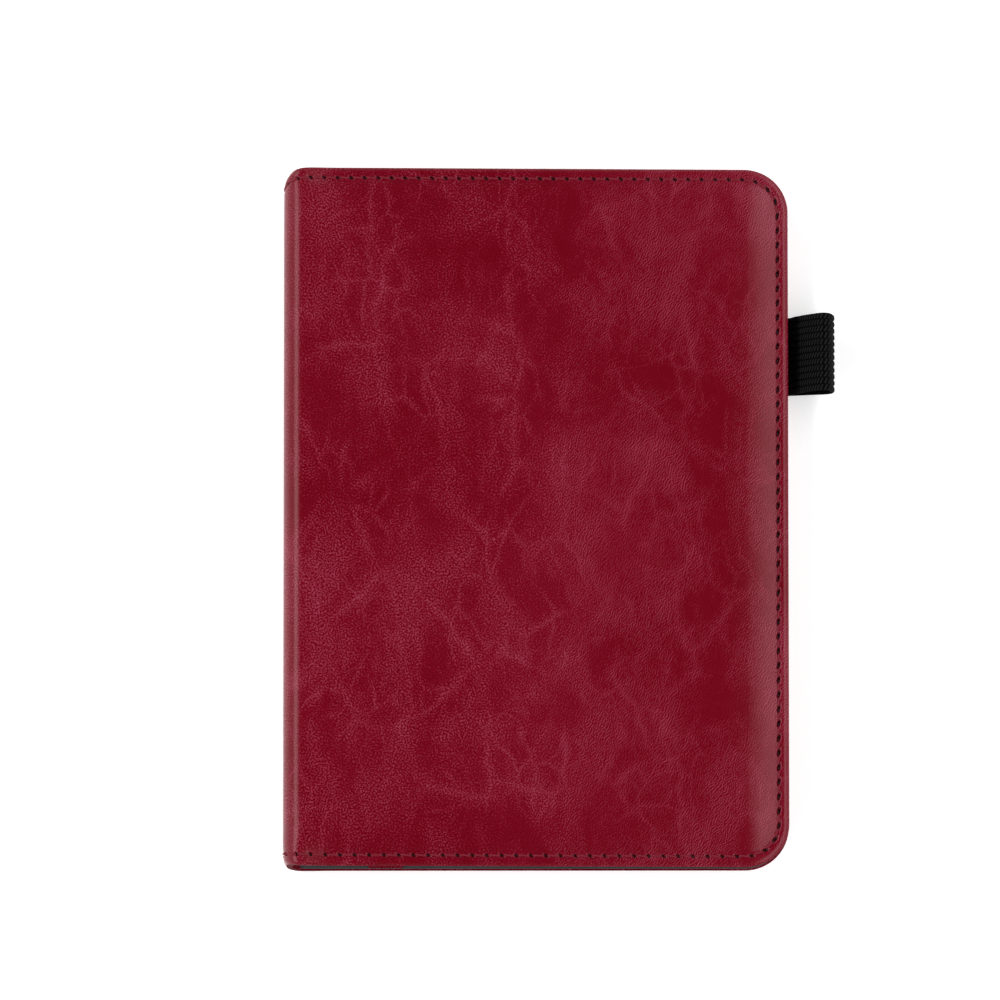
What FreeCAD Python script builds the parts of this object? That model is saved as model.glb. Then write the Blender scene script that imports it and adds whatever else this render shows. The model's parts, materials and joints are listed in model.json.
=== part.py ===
"""A pocket notebook: a stitched soft cover with an elastic pen loop, holding a sewn A6 refill under a strap.

The closed notebook lies on its back cover. +X runs from the spine to the fore edge, +Y to the head of the
page, +Z up through the front cover. The origin is the centre of the back cover's flat outer face.
"""
import FreeCAD, Part
import os
from math import atan, cos, degrees, pi, sin

# ---- driving dimensions, in millimetres ----
COVER_W = 115.0          # spine to fore edge
COVER_H = 160.5          # tail to head
SPINE_T = 14.0           # thickness at the spine; the front cover slopes down from here to the fore edge
CORNER_R = 10.0          # the two fore-edge corners of each cover
FOLD_R = 4.5             # outer radius where a cover folds into the spine

LEATHER_T = 0.9
FOAM_T = 0.4
BOARD_T = 0.8
LINING_T = 0.5
LINING_INSET = 0.6       # the lining stops short of the leather's edge
MARGIN_W = 3.5           # thin sewn border: leather on lining, with nothing between
SLOPE_W = 4.0            # the padding tapers over this width inside the border
BOARD_INSET = 6.5
FOLD_SLACK = 0.5         # the board stops short of the fold line

SEAM_INSET = 2.4         # the stitch line, from the edge
THREAD_D = 0.46
GROOVE = 0.5             # square groove that the stitch line sinks into

PAGE_H = 148.0           # A6 height
REFILL_W = 105.0         # A6 width, its card spine included
CARD_T = 0.3
SHEET_T = 0.11
SHEETS = 4               # folded sheets in a signature: eight leaves
SIGNATURES = 4
SIGNATURE_GAP = 0.02     # paper surfaces never press perfectly flat
BACK_ROUND = 0.35        # radius of a signature's folded back
SEWING_D = 0.4
SEWING_HOLE_D = 0.5
SEWING_L = 120.0
EASE = 0.1               # slack left between pieces that slide or lie on each other

STRAP_W = 7.8
STRAP_T = 0.6
STRAP_X = -34.2          # centre line of the strap
STRAP_END_INSET = 0.5
STRAP_CREST = 0.6        # the strap stays level this far past the page
STRAP_DROP = 1.9         # and comes down to the lining over this length

LOOP_W = 18.0            # width of the elastic webbing
LOOP_Y = 38.0            # its centre along the fore edge
LOOP_T = 1.0             # thickness of the free webbing
LOOP_REACH = 11.3        # how far the loop stands out from the fore edge, before it is tilted
LOOP_TOP = 8.6
LOOP_TILT = 14.0         # the loop stands up from the table by this angle, in degrees
LOOP_HEEL_R = 2.6        # lower outer bend
LOOP_CREST_R = 2.2       # upper outer bend
LOOP_SHOULDER_X = 2.0    # a point on the rising outer face, from the loop's root
LOOP_SHOULDER_Z = 6.3
LOOP_ROOT_WALL = 2.3     # the hollow starts this many wall thicknesses from the root
TAIL_L = 6.2             # both webbing ends, pressed together inside the cover
TAIL_GAP = 0.3           # the webbing's bending length at the edge
BUMP_SIDE = 1.2          # leather around the tail, each side

# ---- worked out from them ----
PAD_T = FOAM_T + BOARD_T
STACK_DEPTH = LEATHER_T + PAD_T                # from a cover's outer face to its lining
WALL_T = STACK_DEPTH + LINING_T
MARGIN_Z = PAD_T                               # outer face of the sewn border
BORDER_Z = MARGIN_Z + LEATHER_T                # where the border's leather meets the lining
LEAF_T = 2 * SHEETS * SHEET_T
CARD_Z = WALL_T + EASE
STRAP_Z = CARD_Z + CARD_T + EASE
PAGES_Z = STRAP_Z + STRAP_T + EASE
PAGES_TOP = PAGES_Z + SIGNATURES * LEAF_T
SPINE_X = -COVER_W / 2
FORE_X = COVER_W / 2
FOLD_X = SPINE_X + FOLD_R
HALF_H = COVER_H / 2
SEAM_Y = HALF_H - SEAM_INSET
SEAM_X = FORE_X - SEAM_INSET
PAGES_X = FOLD_X + CARD_T
REFILL_END_X = FOLD_X + REFILL_W
LINING_R = FOLD_R - STACK_DEPTH
SPINE_TOP = SPINE_T - FOLD_R
TILT = degrees(atan((SPINE_T - WALL_T - PAGES_TOP - CARD_T - EASE) / REFILL_W))   # of the front cover
TAIL_Y0 = LOOP_Y - LOOP_W / 2
TAIL_Y1 = LOOP_Y + LOOP_W / 2
BUMP_Y0 = TAIL_Y0 - BUMP_SIDE
BUMP_Y1 = TAIL_Y1 + BUMP_SIDE

RIGHT_ANGLE = 90.0
V = FreeCAD.Vector


def box(x0, x1, y0, y1, z0, z1):
    return Part.makeBox(x1 - x0, y1 - y0, z1 - z0, V(x0, y0, z0))


def three_point_arc(start, middle, end):
    return Part.Arc(start, middle, end).toShape()


# ---- the layers of a cover, drawn for the back cover and mirrored for the front ----
def corner_arc(cx, cy, r, start, end, z):
    """A tangent corner arc in the XY plane, from start to end in degrees."""
    angles = (start, (start + end) / 2, end)
    return three_point_arc(*(V(cx + r * cos(pi * t / 180), cy + r * sin(pi * t / 180), z) for t in angles))


def cover_edge(inset, z):
    """The three free sides of a cover as a list of edges, from the tail round the fore edge to the head."""
    r = CORNER_R - inset
    cx = FORE_X - CORNER_R
    cy = HALF_H - CORNER_R
    x = FORE_X - inset
    y = HALF_H - inset
    return [
        Part.makeLine(V(FOLD_X, -y, z), V(cx, -y, z)),
        corner_arc(cx, -cy, r, -90, 0, z),
        Part.makeLine(V(x, -cy, z), V(x, cy, z)),
        corner_arc(cx, cy, r, 0, 90, z),
        Part.makeLine(V(cx, y, z), V(FOLD_X, y, z)),
    ]


def cover_outline(inset, z):
    y = HALF_H - inset
    return Part.Wire(cover_edge(inset, z) + [Part.makeLine(V(FOLD_X, y, z), V(FOLD_X, -y, z))])


def plate(inset, z0, z1):
    """A flat layer of the cover between two heights."""
    return Part.Face(cover_outline(inset, z0)).extrude(V(0, 0, z1 - z0))


def tapered(z0, z1):
    """The padded field of a cover: small at z0, wider by the slope at z1."""
    return Part.makeLoft([cover_outline(MARGIN_W + SLOPE_W, z0), cover_outline(MARGIN_W, z1)], True)


def flipped(shape):
    """The same piece mirrored through the spine's mid height."""
    return shape.mirror(V(0, 0, SPINE_T / 2), V(0, 0, 1))


def front(shape):
    """The same piece of the front cover, which leans down to the fore edge about the upper fold line."""
    return flipped(shape).rotate(V(FOLD_X, 0, SPINE_TOP), V(0, 1, 0), TILT)


def seam_groove():
    """A square groove under the stitch line, open on the border's outer face."""
    outer = plate(SEAM_INSET - GROOVE / 2, MARGIN_Z, MARGIN_Z + GROOVE)
    return outer.cut(plate(SEAM_INSET + GROOVE / 2, MARGIN_Z, MARGIN_Z + GROOVE))


def seam_bar(y0, y1, z):
    """A straight length of the groove's section on the fore-edge seam."""
    return box(SEAM_X - GROOVE / 2, SEAM_X + GROOVE / 2, y0, y1, z, z + GROOVE)


def pen_loop_tail():
    """The two webbing ends, one on the other, sewn in between the leather and the lining."""
    return box(FORE_X - TAIL_L, FORE_X, TAIL_Y0, TAIL_Y1, LEATHER_T, BORDER_Z)


def cover_leather():
    """Outer skin of one cover: a raised field, a slope, and the thin sewn border."""
    skin = tapered(0, MARGIN_Z).fuse(plate(0, MARGIN_Z, BORDER_Z))
    return skin.cut(tapered(LEATHER_T, BORDER_Z)).cut(seam_groove()).removeSplitter()


def back_cover_leather():
    """The same skin, kept level where it passes under the pen loop's tail."""
    bump = box(FORE_X - MARGIN_W - SLOPE_W, FORE_X, BUMP_Y0, BUMP_Y1, 0, BORDER_Z)
    bump = bump.cut(tapered(LEATHER_T, BORDER_Z)).cut(seam_bar(BUMP_Y0, BUMP_Y1, 0))
    return cover_leather().fuse(bump).cut(pen_loop_tail()).removeSplitter()


def cover_board():
    board = plate(BOARD_INSET, LEATHER_T + FOAM_T, STACK_DEPTH)
    return board.cut(box(FOLD_X, FOLD_X + FOLD_SLACK, -HALF_H, HALF_H, 0, WALL_T))


def cover_padding():
    return tapered(LEATHER_T, BORDER_Z).cut(cover_board())


def cover_lining():
    return plate(LINING_INSET, STACK_DEPTH, WALL_T)


def thread_along(edges):
    """Round thread swept along tangent edges."""
    path = Part.Wire(edges)
    first = path.Edges[0]
    start = first.valueAt(first.FirstParameter)
    direction = first.tangentAt(first.FirstParameter)
    ring = Part.Wire(Part.makeCircle(THREAD_D / 2, start, direction))
    return path.makePipeShell([ring], True, False)


def cover_seam_thread():
    return thread_along(cover_edge(SEAM_INSET, MARGIN_Z + GROOVE / 2))


def back_cover_seam_thread():
    """The back cover's seam, whose fore-edge stitches step down over the pen loop's tail."""
    z = MARGIN_Z + GROOVE / 2
    tail, tail_corner, fore, head_corner, head = cover_edge(SEAM_INSET, z)
    corner_y = HALF_H - CORNER_R
    below = Part.makeLine(V(SEAM_X, -corner_y, z), V(SEAM_X, BUMP_Y0, z))
    above = Part.makeLine(V(SEAM_X, BUMP_Y1, z), V(SEAM_X, corner_y, z))
    across = Part.makeLine(V(SEAM_X, BUMP_Y0, GROOVE / 2), V(SEAM_X, BUMP_Y1, GROOVE / 2))
    runs = ([tail, tail_corner, below], [across], [above, head_corner, head])
    return Part.makeCompound([thread_along(run) for run in runs])


# ---- the spine, and the two folds beside it ----
def fold_ring(outer_r, inner_r, y0, y1, sweep):
    """Part of a tube round the lower fold line, swept in degrees from the spine down to the back cover."""
    corners = [(outer_r, y0), (outer_r, y1), (inner_r, y1), (inner_r, y0), (outer_r, y0)]
    section = Part.Face(Part.makePolygon([V(FOLD_X - r, y, FOLD_R) for r, y in corners]))
    return section.revolve(V(FOLD_X, 0, FOLD_R), V(0, -1, 0), sweep)


def fold_leather(sweep):
    skin = fold_ring(FOLD_R, FOLD_R - LEATHER_T, -HALF_H, HALF_H, sweep)
    for y in (-SEAM_Y, SEAM_Y):
        skin = skin.cut(fold_ring(FOLD_R, FOLD_R - GROOVE, y - GROOVE / 2, y + GROOVE / 2, sweep))
    return skin


def fold_lining(sweep):
    half = HALF_H - LINING_INSET
    return fold_ring(LINING_R, LINING_R - LINING_T, -half, half, sweep)


def fold_thread(sweep):
    """The thread's turn round the fold at the head and at the tail."""
    r = FOLD_R - GROOVE / 2
    angles = [pi * sweep * share / 180 for share in (0, 1 / 2, 1)]
    turns = []
    for y in (-SEAM_Y, SEAM_Y):
        points = [V(FOLD_X - r * cos(t), y, FOLD_R - r * sin(t)) for t in angles]
        turns.append(thread_along([three_point_arc(*points)]))
    return Part.makeCompound(turns)


def spine_layer(depth0, depth1, inset):
    """A flat upright layer of the spine between two depths from its outer face."""
    half = HALF_H - inset
    return box(SPINE_X + depth0, SPINE_X + depth1, -half, half, FOLD_R, SPINE_TOP)


def spine_leather():
    skin = spine_layer(0, LEATHER_T, 0)
    for y in (-SEAM_Y, SEAM_Y):
        skin = skin.cut(box(SPINE_X, SPINE_X + GROOVE, y - GROOVE / 2, y + GROOVE / 2, FOLD_R, SPINE_TOP))
    return skin


def spine_thread():
    x = SPINE_X + GROOVE / 2
    runs = [Part.makeLine(V(x, y, FOLD_R), V(x, y, SPINE_TOP)) for y in (-SEAM_Y, SEAM_Y)]
    return Part.makeCompound([thread_along([run]) for run in runs])


# ---- the strap and the pen loop ----
def retaining_strap():
    """A leather strap from seam to seam, arched over the refill's back card."""
    end = HALF_H - STRAP_END_INSET
    crest = PAGE_H / 2 + STRAP_CREST
    foot = crest + STRAP_DROP
    head_side = [(crest, STRAP_Z), (foot, WALL_T), (end, WALL_T)]
    low = [(-y, z) for y, z in reversed(head_side)] + head_side
    high = [(y, z + STRAP_T) for y, z in reversed(low)]
    x = STRAP_X - STRAP_W / 2
    section = Part.makePolygon([V(x, y, z) for y, z in low + high + low[:1]])
    return Part.Face(section).extrude(V(STRAP_W, 0, 0))


def loop_outline(wall):
    """The pen loop's section in the XZ plane, drawn inside its outer line by the wall thickness."""
    def at(x, z):
        return V(x, TAIL_Y0, z)

    tip = FORE_X + LOOP_REACH - wall
    low = LEATHER_T + wall
    top = LOOP_TOP - wall
    heel_r = LOOP_HEEL_R - wall
    crest_r = LOOP_CREST_R - wall
    root = FORE_X + TAIL_GAP + LOOP_ROOT_WALL * wall
    root_top = BORDER_Z + EASE * wall
    slant = pi / 4
    shoulder_x = FORE_X + TAIL_GAP + LOOP_SHOULDER_X
    shoulder = at(shoulder_x + wall * cos(slant), LOOP_SHOULDER_Z - wall * sin(slant))
    bend = 1 - cos(pi / 4)
    crest = [at(tip - crest_r, top), at(tip - crest_r * bend, top - crest_r * bend), at(tip, top - crest_r)]
    heel = [at(tip, low + heel_r), at(tip - heel_r * bend, low + heel_r * bend), at(tip - heel_r, low)]
    return Part.Wire([
        three_point_arc(at(root, root_top), shoulder, crest[0]),
        three_point_arc(*crest),
        Part.makeLine(crest[-1], heel[0]),
        three_point_arc(*heel),
        Part.makeLine(heel[-1], at(root, low)),
        Part.makeLine(at(root, low), at(root, root_top)),
    ])


def pen_loop():
    outer = Part.Face(loop_outline(0)).extrude(V(0, LOOP_W, 0))
    band = outer.cut(Part.Face(loop_outline(LOOP_T)).extrude(V(0, LOOP_W, 0)))
    return band.rotate(V(FORE_X + TAIL_GAP / 2, 0, (LEATHER_T + BORDER_Z) / 2), V(0, -1, 0), LOOP_TILT)


# ---- the refill ----
def refill_layer(x0, z0, z1):
    return box(x0, REFILL_END_X, -PAGE_H / 2, PAGE_H / 2, z0, z1)


def signature_z(number):
    return PAGES_Z + (number - 1) * LEAF_T


def sewing_rod(number, diameter, length):
    """A rod in the fold of a signature's middle sheet."""
    z = signature_z(number) + (LEAF_T - SIGNATURE_GAP) / 2
    return Part.makeCylinder(diameter / 2, length, V(PAGES_X + LEAF_T, -length / 2, z), V(0, 1, 0))


def signature(number):
    """Folded sheets as one block, rounded at the fold, with the hollow that the sewing thread lies in."""
    z0 = signature_z(number)
    block = refill_layer(PAGES_X, z0, z0 + LEAF_T - SIGNATURE_GAP)
    boxes = [(edge, edge.BoundBox) for edge in block.Edges]
    back = [edge for edge, extent in boxes if extent.XMax < PAGES_X + EASE and extent.YLength > LEAF_T]
    return block.makeFillet(BACK_ROUND, back).cut(sewing_rod(number, SEWING_HOLE_D, PAGE_H))


def refill_card_spine():
    return box(FOLD_X, PAGES_X, -PAGE_H / 2, PAGE_H / 2, CARD_Z, PAGES_TOP + CARD_T)


nodes = {
    "back_leather": back_cover_leather(),
    "back_padding": cover_padding().cut(pen_loop_tail()),
    "back_board": cover_board(),
    "back_lining": cover_lining(),
    "back_seam_thread": back_cover_seam_thread(),
    "front_leather": front(cover_leather()),
    "front_padding": front(cover_padding()),
    "front_board": front(cover_board()),
    "front_lining": front(cover_lining()),
    "front_seam_thread": front(cover_seam_thread()),
    "back_fold_leather": fold_leather(RIGHT_ANGLE),
    "back_fold_lining": fold_lining(RIGHT_ANGLE),
    "back_fold_thread": fold_thread(RIGHT_ANGLE),
    "front_fold_leather": flipped(fold_leather(RIGHT_ANGLE + TILT)),
    "front_fold_lining": flipped(fold_lining(RIGHT_ANGLE + TILT)),
    "front_fold_thread": flipped(fold_thread(RIGHT_ANGLE + TILT)),
    "spine_leather": spine_leather(),
    "spine_stiffener": spine_layer(LEATHER_T, STACK_DEPTH, BOARD_INSET),
    "spine_lining": spine_layer(STACK_DEPTH, WALL_T, LINING_INSET),
    "spine_seam_thread": spine_thread(),
    "retaining_strap": retaining_strap(),
    "pen_loop_tail": pen_loop_tail(),
    "pen_loop": pen_loop(),
    "refill_back_card": refill_layer(PAGES_X, CARD_Z, CARD_Z + CARD_T),
    "refill_front_card": refill_layer(PAGES_X, PAGES_TOP, PAGES_TOP + CARD_T),
    "refill_card_spine": refill_card_spine(),
}
for number in range(1, SIGNATURES + 1):
    nodes[f"signature_{number}"] = signature(number)
    nodes[f"signature_{number}_thread"] = sewing_rod(number, SEWING_D, SEWING_L)

os.makedirs("parts", exist_ok=True)
for name, shape in nodes.items():
    assert shape.isValid() and all(solid.Volume > 0 for solid in shape.Solids), name
    shape.exportStep(os.path.join("parts", name + ".step"))
    print(name, len(shape.Solids), "solids", round(shape.Volume, 2), "mm3", shape.BoundBox)
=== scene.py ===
import json
import math
from functools import partial

import bpy
import numpy as np
from mathutils import Matrix, Quaternion, Vector
from mathutils.geometry import delaunay_2d_cdt


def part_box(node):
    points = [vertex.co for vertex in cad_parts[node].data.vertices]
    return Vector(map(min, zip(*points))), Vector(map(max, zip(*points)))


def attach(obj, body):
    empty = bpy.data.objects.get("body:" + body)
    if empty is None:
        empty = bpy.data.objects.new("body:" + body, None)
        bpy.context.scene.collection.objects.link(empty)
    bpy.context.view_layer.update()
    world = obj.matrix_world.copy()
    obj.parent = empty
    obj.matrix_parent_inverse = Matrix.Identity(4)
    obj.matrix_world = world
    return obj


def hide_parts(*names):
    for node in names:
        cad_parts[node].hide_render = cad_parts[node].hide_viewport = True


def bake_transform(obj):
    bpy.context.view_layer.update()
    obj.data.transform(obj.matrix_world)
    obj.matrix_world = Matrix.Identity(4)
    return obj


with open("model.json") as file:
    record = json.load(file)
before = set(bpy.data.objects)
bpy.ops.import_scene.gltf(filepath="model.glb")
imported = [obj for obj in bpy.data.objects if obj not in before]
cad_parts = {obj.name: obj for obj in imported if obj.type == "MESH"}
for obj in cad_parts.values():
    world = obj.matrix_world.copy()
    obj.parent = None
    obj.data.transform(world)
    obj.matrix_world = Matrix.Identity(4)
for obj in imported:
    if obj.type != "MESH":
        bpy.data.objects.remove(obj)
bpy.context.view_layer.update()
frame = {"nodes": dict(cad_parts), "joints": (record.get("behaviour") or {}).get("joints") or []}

# ---- The folded cover ----
# Leather and lining both run from the back board round the spine to the front board. A place on them is its way
# s round the fold from the middle of the spine, its height y, and its depth under the leather's outer face.
MM = 0.001
spine_low, spine_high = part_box("spine_leather")
back_low, back_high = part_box("back_leather")
SPINE_X = spine_low.x
FOLD_X = back_low.x
FORE_X = back_high.x
HALF_H = back_high.y
CORNER_R = 10 * MM
FOLD_R = FOLD_X - SPINE_X
SPINE_HALF = (spine_high.z - spine_low.z) / 2
MID_Z = (spine_high.z + spine_low.z) / 2
joint_range = {joint["name"]: joint["range_deg"] for joint in frame["joints"]}
SWEEP = {"back": math.pi / 2, "front": math.radians(joint_range["front_cover_hinge"][1])}
UP = {"back": -1, "front": 1}
HEAD_DRAW = 3.6 * MM     # the spine's leather is drawn in at its head and a little at its tail
TAIL_DRAW = 0.7 * MM
DRAW_ROUND = 5.5 * MM    # how far round the fold this reaches, and how far along the spine
DRAW_ALONG = 16 * MM


def ramp_between(low, high, value):
    """0 below low, 1 above high, and a smooth rise between."""
    t = np.clip((value - low) / (high - low), 0, 1)
    return t * t * (3 - 2 * t)


def fold_end(side):
    """How far round from the middle of the spine the cover's flat part starts."""
    return SPINE_HALF + FOLD_R * SWEEP[side]


def sheet_length(side):
    return fold_end(side) + FORE_X - FOLD_X


def wrapped(side, s, y, depth):
    """Places in the row frame for ways, heights and depths on the folded cover."""
    s, y, depth = np.broadcast_arrays(s, y, depth)
    turn = np.clip((s - SPINE_HALF) / FOLD_R, 0, SWEEP[side])
    flat = np.maximum(s - fold_end(side), 0)
    r = FOLD_R - depth
    x = FOLD_X - r * np.cos(turn) + flat * math.sin(SWEEP[side])
    z = np.clip(s, 0, SPINE_HALF) + r * np.sin(turn) + flat * math.cos(SWEEP[side])
    drawn = np.where(y > 0, HEAD_DRAW, TAIL_DRAW) * np.exp(-(s / DRAW_ROUND) ** 2)
    drawn = drawn * ramp_between(HALF_H - DRAW_ALONG, HALF_H, np.abs(y))
    return np.stack([x, y - np.sign(y) * drawn, MID_Z + UP[side] * z], axis=-1)


def inset(side, s, y):
    """Distance in from the head, tail and fore edges, round the corners too."""
    fore = sheet_length(side) - s
    end = HALF_H - np.abs(y)
    rounded = CORNER_R - np.hypot(CORNER_R - fore, CORNER_R - end)
    return np.where((fore < CORNER_R) & (end < CORNER_R), rounded, np.minimum(fore, end))


def edge_runs(side, gap):
    """The short side, the long side and the corner radius of the free edge, drawn in by a gap."""
    r = CORNER_R - gap
    return sheet_length(side) - gap - r, 2 * (HALF_H - gap - r), r


def edge_length(side, gap):
    short, long, r = edge_runs(side, gap)
    return 2 * short + long + math.pi * r


def on_edge(side, gap, way):
    """Places (s, y) and headings at ways along the free edge, from the spine's tail round to its head."""
    short, long, r = edge_runs(side, gap)
    bend = r * math.pi / 2
    a = np.clip((way - short) / r, 0, math.pi / 2)
    b = np.clip((way - short - bend - long) / r, 0, math.pi / 2)
    rise = np.clip(way - short - bend, 0, long)
    past = np.maximum(way - short - 2 * bend - long, 0)
    s = np.minimum(way, short) + r * np.sin(a) + r * (np.cos(b) - 1) - past
    y = gap - HALF_H + r * (1 - np.cos(a)) + rise + r * np.sin(b)
    return np.stack([s, y], axis=-1), np.stack([np.cos(a + b), np.sin(a + b)], axis=-1)


# ---- The seam ----
# One lockstitch row runs round each cover 2.4 mm in from the edge. The stitches are 3.3 mm long, and 3.1 mm
# along the head, where the leather was fed a little slower.
SEAM_GAP = 2.4 * MM
STITCH_L = 3.34 * MM
HEAD_STITCH_L = 3.08 * MM
FIRST_HOLE = 1.4 * MM    # from the middle of the spine, at its tail and at its head
LAST_HOLE = 0.8 * MM
HOLE_R = 0.35 * MM       # half the width and half the length of a needle hole
HOLE_L = 0.5 * MM
HOLE_SLANT = 0.4
HOLE_RIM = 1.6           # how sharply the rim of a hole breaks
FORE_PULL = 0.8          # the holes down the fore edge are pulled this much longer


def seam_holes(side):
    """Places, headings and lengths of the needle holes along the seam."""
    short, long, r = edge_runs(side, SEAM_GAP)
    head = short + long + math.pi * r
    slow = np.arange(FIRST_HOLE, head, STITCH_L)
    fast = np.arange(slow[-1] + HEAD_STITCH_L, edge_length(side, SEAM_GAP) - LAST_HOLE, HEAD_STITCH_L)
    ways = np.concatenate([slow, fast])
    places, headings = on_edge(side, SEAM_GAP, ways)
    slot = 1 + FORE_PULL * ramp_between(short, short + r, ways) * (1 - ramp_between(head - r, head, ways))
    return places, headings, slot


def hole_dents(side, s, y):
    """How far each point lies in a needle hole, from 0 outside to 1 at its middle."""
    dent = np.zeros(len(s))
    near = np.flatnonzero(np.abs(inset(side, s, y) - SEAM_GAP) < 4 * HOLE_R)
    for place, heading, slot in zip(*seam_holes(side)):
        away = np.stack([s[near], y[near]], axis=1) - place
        along = away @ heading / (HOLE_L * slot)
        across = (away[:, 1] * heading[0] - away[:, 0] * heading[1]) / HOLE_R
        away2 = along ** 2 + (across + HOLE_SLANT * along) ** 2
        dent[near] = np.maximum(dent[near], np.exp(-away2 ** HOLE_RIM))
    return dent


def along_seam(side, offsets, count):
    """Points beside the seam line, a few at each stitch so that every hole is cut alike."""
    places, headings, _ = seam_holes(side)
    steps = np.arange(0, len(places) - 1, 1 / count)
    index = np.arange(len(places))
    middle = np.stack([np.interp(steps, index, places[:, k]) for k in (0, 1)], axis=1)
    facing = np.stack([np.interp(steps, index, headings[:, k]) for k in (0, 1)], axis=1)
    facing /= np.linalg.norm(facing, axis=1, keepdims=True)
    outward = np.stack([facing[:, 1], -facing[:, 0]], axis=1)
    return np.concatenate([middle + outward * offset for offset in offsets])


# ---- Outer leather ----
# Waxed pull-up leather, skived thin at its border, drawn over foam and board and sewn down through the lining.
# Two pieces meet in the middle of the spine, and each one bends where its cover folds.
LEATHER_T = spine_high.x - spine_low.x
LINING_DEPTH = 2.1 * MM
BORDER_DEPTH = 1.25 * MM  # the flat border lies this far under the padded middle
BORDER_W = 3.1 * MM
SLOPE_MM = 4.6            # width of the slope at the head and tail, and how much wider it is at the fore edge
FORE_SLOPE_MM = 4.2
EDGE_DROP = 0.7 * MM
EDGE_ROUND = 1.5 * MM
PUFF = 0.03 * MM          # the edge swells a little outside the seam
GROOVE_DEPTH = 0.13 * MM
GROOVE_IN_MM = 0.42       # half widths of the groove, inside and outside the seam
GROOVE_OUT_MM = 0.75
WAVE = 0.016 * MM         # slow unevenness of the foam under the leather
HOLE_DEPTH = 0.6 * MM
LOOP_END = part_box("pen_loop_tail")


def loop_lift(side, s, y):
    """1 where the back cover's leather lies over the pen loop's sewn-in ends."""
    if side == "front":
        return np.zeros(np.shape(s))
    low, high = LOOP_END[0].y, LOOP_END[1].y
    over = ramp_between(low - 2 * MM, low - 0.4 * MM, y) * (1 - ramp_between(high + 0.4 * MM, high + 2 * MM, y))
    fore = sheet_length(side) - s
    return over * (1 - ramp_between(6.4 * MM, 9 * MM, fore))


def leather_depth(side, s, y):
    """Depth of the leather's outer face under the cover's highest level."""
    gap = inset(side, s, y)
    fore = sheet_length(side) - s
    end = HALF_H - np.abs(y)
    on_board = ramp_between(fold_end(side) - 3 * MM, fold_end(side) + 7 * MM, s)
    slope_w = (SLOPE_MM + FORE_SLOPE_MM * ramp_between(0.2, 0.8, end / (fore + end))) * MM
    slope = np.clip(1 - (gap - BORDER_W) / slope_w, 0, 1) ** 1.7
    puff = PUFF * np.sin(math.pi * np.clip(gap / (2.1 * MM), 0, 1))
    groove_w = np.where(gap > SEAM_GAP, GROOVE_IN_MM, GROOVE_OUT_MM) * MM
    groove = GROOVE_DEPTH * np.exp(-((gap - SEAM_GAP) / groove_w) ** 2)
    turned = 1 - np.clip(gap / EDGE_ROUND, 0, 1)
    edge = EDGE_DROP * turned ** 2
    waves = np.sin(s * 210 + 1.1 * np.sin(y * 90)) + np.sin(y * 160 + 2 + np.sin(s * 130)) + 2
    board_face = BORDER_DEPTH * slope - puff + edge + WAVE * waves * (1 - slope)
    spine_face = 0.12 * MM * (1 - ramp_between(1 * MM, 5 * MM, gap)) + edge
    lift = loop_lift(side, s, y)
    face = spine_face + (board_face - spine_face) * on_board
    face = face * (1 - lift) + lift * (0.1 * MM + 0.5 * edge)
    return face + groove


def leather_back(side, s, y):
    gap = inset(side, s, y)
    deep = 1 - ramp_between(3.5 * MM, 6.4 * MM, gap)
    return LEATHER_T + (LINING_DEPTH - LEATHER_T) * deep * (1 - loop_lift(side, s, y))


def outline_points(side, gap, left_gaps, step, left_step):
    """The laid-out sheet's outline (s, y), from the spine's tail round the free edge and back down the spine."""
    ways = np.linspace(0, edge_length(side, gap), round(edge_length(side, gap) / step) + 1)
    rim = on_edge(side, gap, ways)[0]
    half = HALF_H - gap
    inner = HALF_H - max(left_gaps)
    ends = np.array([HALF_H - g for g in left_gaps])
    middle = np.linspace(-inner, inner, round(2 * inner / left_step) + 1)[1:-1]
    left = np.sort(np.concatenate([ends, -ends, middle]))[::-1]
    left = left[np.abs(left) < half - 0.02 * MM]
    return np.concatenate([rim, np.stack([np.zeros(len(left)), left], axis=1)])


def rings_and_grid(side, rings, fold_step, grid, from_gap):
    """Points inside the outline: rings that follow its edge, columns over the fold, and a grid on the flat."""
    parts = []
    for gap, step in rings:
        ways = np.linspace(0, edge_length(side, gap), round(edge_length(side, gap) / step) + 1)[1:-1]
        parts.append(on_edge(side, gap, ways)[0])
    fold = np.arange(fold_step, fold_end(side) + fold_step, fold_step)
    columns = np.concatenate([fold, np.arange(fold[-1] + grid, sheet_length(side), grid)])
    rows = np.arange(-HALF_H, HALF_H, grid)
    field = np.stack(np.meshgrid(columns, rows), axis=-1).reshape(-1, 2)
    parts.append(field[inset(side, *field.T) > from_gap])
    return np.concatenate(parts)


def triangulated(outline, inside):
    """The outline filled with triangles through the inside points. The outline's points come first."""
    points = np.concatenate([outline, inside]) / MM
    ring = list(range(len(outline)))
    verts, _, faces, _, _, _ = delaunay_2d_cdt([Vector(p) for p in points], [], [ring], 1, 1e-5)
    places = np.array([v[:] for v in verts]) * MM
    assert np.allclose(places[: len(outline)], outline, atol=1e-7)
    return places, np.array([f[:] for f in faces])


def new_object(name, data):
    obj = bpy.data.objects.new(name, data)
    bpy.context.scene.collection.objects.link(obj)
    return obj


def smooth_mesh_object(name, points, faces, sharp_deg):
    mesh = bpy.data.meshes.new(name)
    mesh.from_pydata(points.tolist(), [], [tuple(f) for f in faces])
    mesh.shade_smooth()
    mesh.set_sharp_from_angle(angle=math.radians(sharp_deg))
    return new_object(name, mesh)


def store(mesh, name, kind, values):
    """Stores a number or a vector on each point of a mesh, for its material or its node tree to read."""
    stored = mesh.attributes.new(name, kind, "POINT")
    field = "vector" if kind == "FLOAT_VECTOR" else "value"
    stored.data.foreach_set(field, np.asarray(values, np.float32).ravel())


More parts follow.
